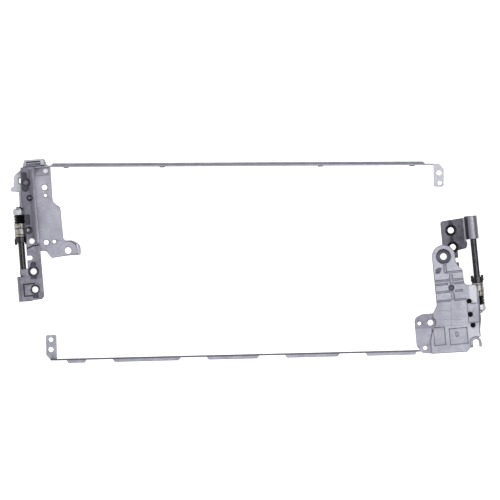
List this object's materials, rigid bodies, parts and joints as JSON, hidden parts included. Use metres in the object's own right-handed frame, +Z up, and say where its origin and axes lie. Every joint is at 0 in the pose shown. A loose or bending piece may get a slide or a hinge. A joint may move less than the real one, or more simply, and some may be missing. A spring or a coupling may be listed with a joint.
{
  "type": "laptop hinge pair",
  "caption": "Left and right laptop lid hinges, lying closed: stamped base leaf and cast screen leaf with a panel rail, joined by a friction stack of washers, disc springs and nut.",
  "frame": {"origin": "middle of the pair's footprint, on the table it lies on", "axes": "+X from the left hinge to the right one, +Y away from the viewer along the shafts, +Z up"},
  "size_m": [0.2612, 0.1122, 0.0088],
  "materials": {
    "base_steel": "dark plated",
    "cast_alloy": "as cast, satin",
    "rail_steel": "plated",
    "black_steel": "black oxide, oiled",
    "friction_steel": "ground",
    "zinc_steel": "bright zinc"
  },
  "bodies": {
    "lower_leaves": {"left_screen_bracket": "cast_alloy", "left_rail": "rail_steel", "left_rail_rivet": "zinc_steel", "left_knuckle": "friction_steel", "left_knuckle_rivets": "black_steel", "right_base_bracket": "base_steel", "right_shaft": "black_steel", "right_stop_collar": "black_steel", "right_friction_washer": "friction_steel", "right_cam_disc": "friction_steel", "right_disc_springs": "black_steel", "right_lock_nut": "zinc_steel"},
    "left_base_leaf": {"left_base_bracket": "base_steel", "left_shaft": "black_steel", "left_stop_collar": "black_steel", "left_friction_washer": "friction_steel", "left_cam_disc": "friction_steel", "left_disc_springs": "black_steel", "left_lock_nut": "zinc_steel"},
    "right_screen_leaf": {"right_screen_bracket": "cast_alloy", "right_rail": "rail_steel", "right_rail_rivet": "zinc_steel", "right_knuckle": "friction_steel", "right_knuckle_rivets": "black_steel"}
  },
  "joints": [
    {"name": "left_hinge", "type": "hinge", "parent": "lower_leaves", "child": "left_base_leaf", "pos_m": [-0.12484, 0.013, 0.005], "axis": [0.0785, -0.9969, 0], "range_deg": [0, 135]},
    {"name": "right_hinge", "type": "hinge", "parent": "lower_leaves", "child": "right_screen_leaf", "pos_m": [0.12596, -0.012, 0.00375], "axis": [-0.0976, 0.9952, 0], "range_deg": [0, 135]}
  ]
}
